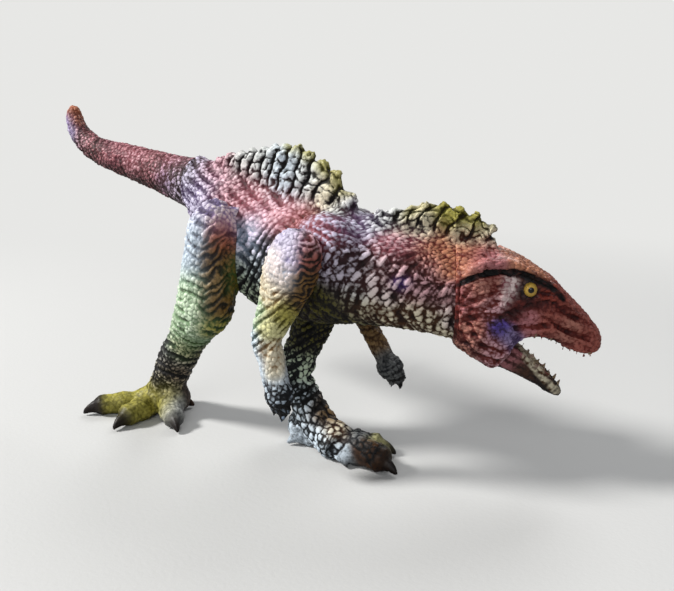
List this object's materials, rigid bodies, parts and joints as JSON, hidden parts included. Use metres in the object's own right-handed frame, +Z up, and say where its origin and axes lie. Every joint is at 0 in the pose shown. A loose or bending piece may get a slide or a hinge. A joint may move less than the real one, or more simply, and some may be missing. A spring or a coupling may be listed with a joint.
{
  "type": "toy dinosaur figure",
  "caption": "Moulded toy theropod with a knobbed ridge along its back, striding with its mouth open; the jaw hinges and both arms swivel at the shoulder",
  "frame": {"origin": "On the ground, under the middle of the figure's bounding box", "axes": "+X is the way the trunk faces, +Y is the figure's left, +Z is up"},
  "size_m": [0.1572, 0.0592, 0.0838],
  "materials": {
    "rose_lilac_vinyl": "soft vinyl, painted rose and lilac over dark recesses",
    "rose_vinyl": "soft vinyl, painted rose-red",
    "maroon_vinyl": "soft vinyl, painted maroon with an orange-brown snout",
    "brown_vinyl": "soft vinyl, painted red-brown",
    "mint_vinyl": "soft vinyl, painted mint green and ochre",
    "grey_green_vinyl": "soft vinyl, painted grey-green and pale blue",
    "cream_vinyl": "soft vinyl, painted cream, ochre and navy",
    "tan_vinyl": "soft vinyl, painted tan and navy"
  },
  "bodies": {
    "body": {"trunk": "rose_lilac_vinyl", "tail": "rose_vinyl", "head": "maroon_vinyl", "right_leg": "mint_vinyl", "left_leg": "grey_green_vinyl"},
    "jaw": {"lower_jaw": "brown_vinyl"},
    "right_arm": {"right_arm": "cream_vinyl"},
    "left_arm": {"left_arm": "tan_vinyl"}
  },
  "joints": [
    {"name": "jaw_hinge", "type": "hinge", "parent": "body", "child": "jaw", "pos_m": [0.05651, 0.0125, 0.0335], "axis": [-0.5878, 0.809, 0], "range_deg": [-25, 8]},
    {"name": "right_shoulder", "type": "hinge", "parent": "body", "child": "right_arm", "pos_m": [0.02794, -0.01531, 0.053], "axis": [0, 1, 0], "range_deg": [-90, 25]},
    {"name": "left_shoulder", "type": "hinge", "parent": "body", "child": "left_arm", "pos_m": [0.02794, 0.00669, 0.053], "axis": [0, 1, 0], "range_deg": [-28, 25]}
  ]
}
